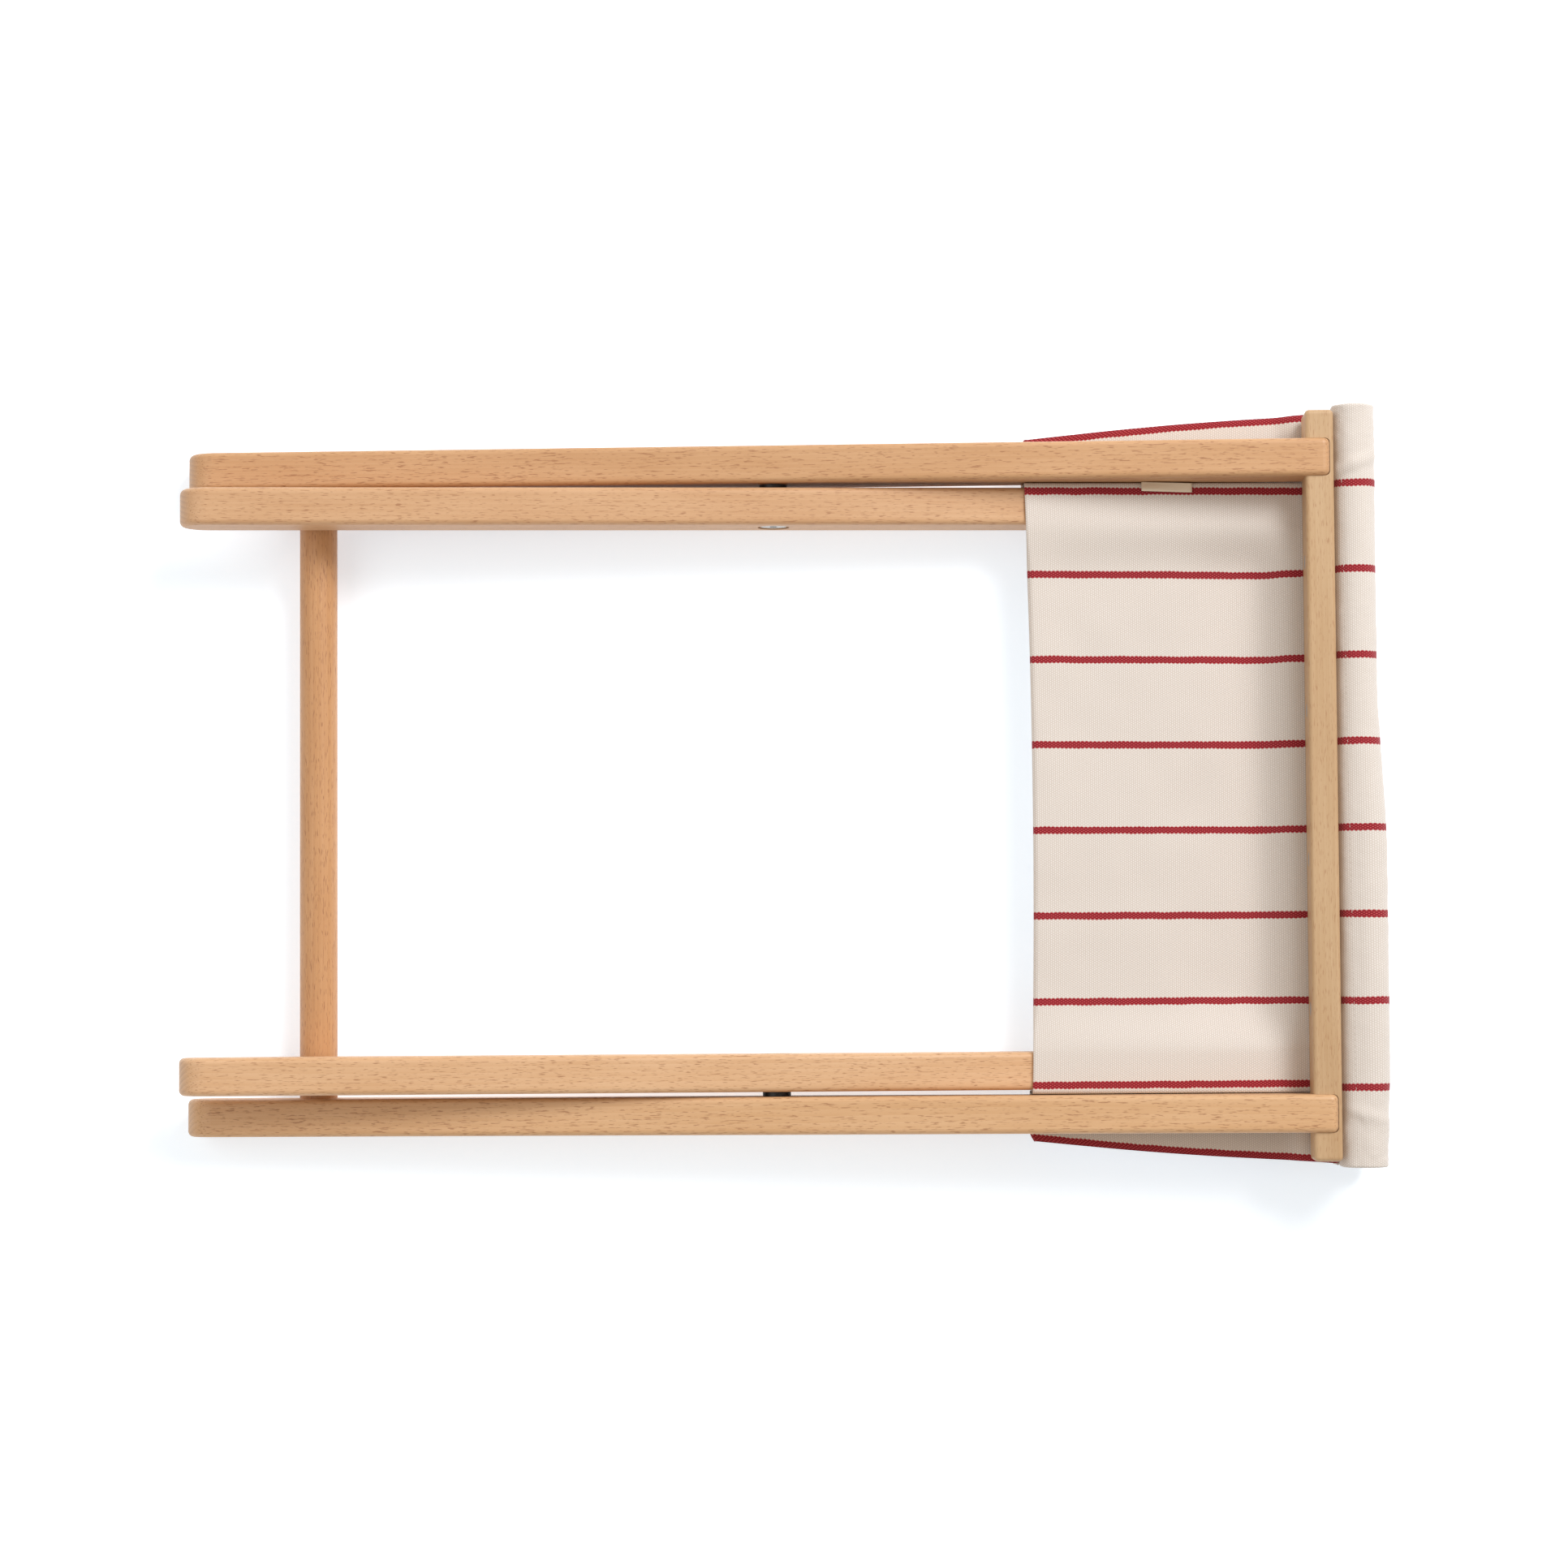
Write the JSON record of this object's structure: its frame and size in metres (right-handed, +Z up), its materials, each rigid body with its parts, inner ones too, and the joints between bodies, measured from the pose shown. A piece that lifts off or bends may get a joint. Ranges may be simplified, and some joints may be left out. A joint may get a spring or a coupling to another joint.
{
  "type": "folding camp stool",
  "caption": "Folding X-frame camp stool of round-footed wooden legs with a striped canvas sling seat, lying folded flat.",
  "frame": {"origin": "middle of the bottom of the folded stool's box, on the ground that it lies on", "axes": "+X from the feet to the seat end, +Y across the stool, +Z up from the ground"},
  "size_m": [0.633, 0.402, 0.0621],
  "materials": {
    "beech": "clear matt lacquer, visible grain",
    "canvas": "plain weave with thin dark red stripes",
    "tag_ribbon": "fine ribbon",
    "pivot_steel": "nickel plated, satin",
    "screw_steel": "zinc plated",
    "nylon": "moulded"
  },
  "bodies": {
    "outer_frame": {"outer_leg_left": "beech", "outer_leg_right": "beech", "outer_top_rail": "beech", "outer_stretcher": "beech", "outer_seat_bar": "beech", "outer_rail_screws": "screw_steel", "outer_bar_screws": "screw_steel", "seat_pocket_outer": "canvas", "pivot_sleeve_nut_left": "pivot_steel", "pivot_sleeve_nut_right": "pivot_steel", "pivot_bolt_left": "pivot_steel", "pivot_bolt_right": "pivot_steel", "spacer_washer_left": "nylon", "spacer_washer_right": "nylon"},
    "inner_frame": {"inner_leg_left": "beech", "inner_leg_right": "beech", "inner_top_rail": "beech", "inner_seat_bar": "beech", "inner_rail_screws": "screw_steel", "inner_bar_screws": "screw_steel", "seat_pocket_inner": "canvas"},
    "seat_front": {"seat_cloth_front": "canvas", "side_tag": "tag_ribbon"},
    "seat_back": {"seat_cloth_back": "canvas"}
  },
  "joints": [
    {"name": "fold", "type": "hinge", "parent": "outer_frame", "child": "inner_frame", "pos_m": [-0.00197, 0, 0.03106], "axis": [0, 1, 0], "range_deg": [0, 64.4]},
    {"name": "seat_front_hang", "type": "hinge", "parent": "outer_frame", "child": "seat_front", "pos_m": [0.29533, 0, 0.03226], "axis": [0, -1, 0], "range_deg": [0, 53], "deforming": ["seat_cloth_front", "side_tag"]},
    {"name": "seat_back_hang", "type": "hinge", "parent": "inner_frame", "child": "seat_back", "pos_m": [0.29533, 0, 0.02986], "axis": [0, 1, 0], "range_deg": [0, 53], "deforming": ["seat_cloth_back"]}
  ],
  "couplings": [
    {"joint": "seat_front_hang", "follows": "fold", "ratio": 0.82},
    {"joint": "seat_back_hang", "follows": "fold", "ratio": 0.82}
  ]
}
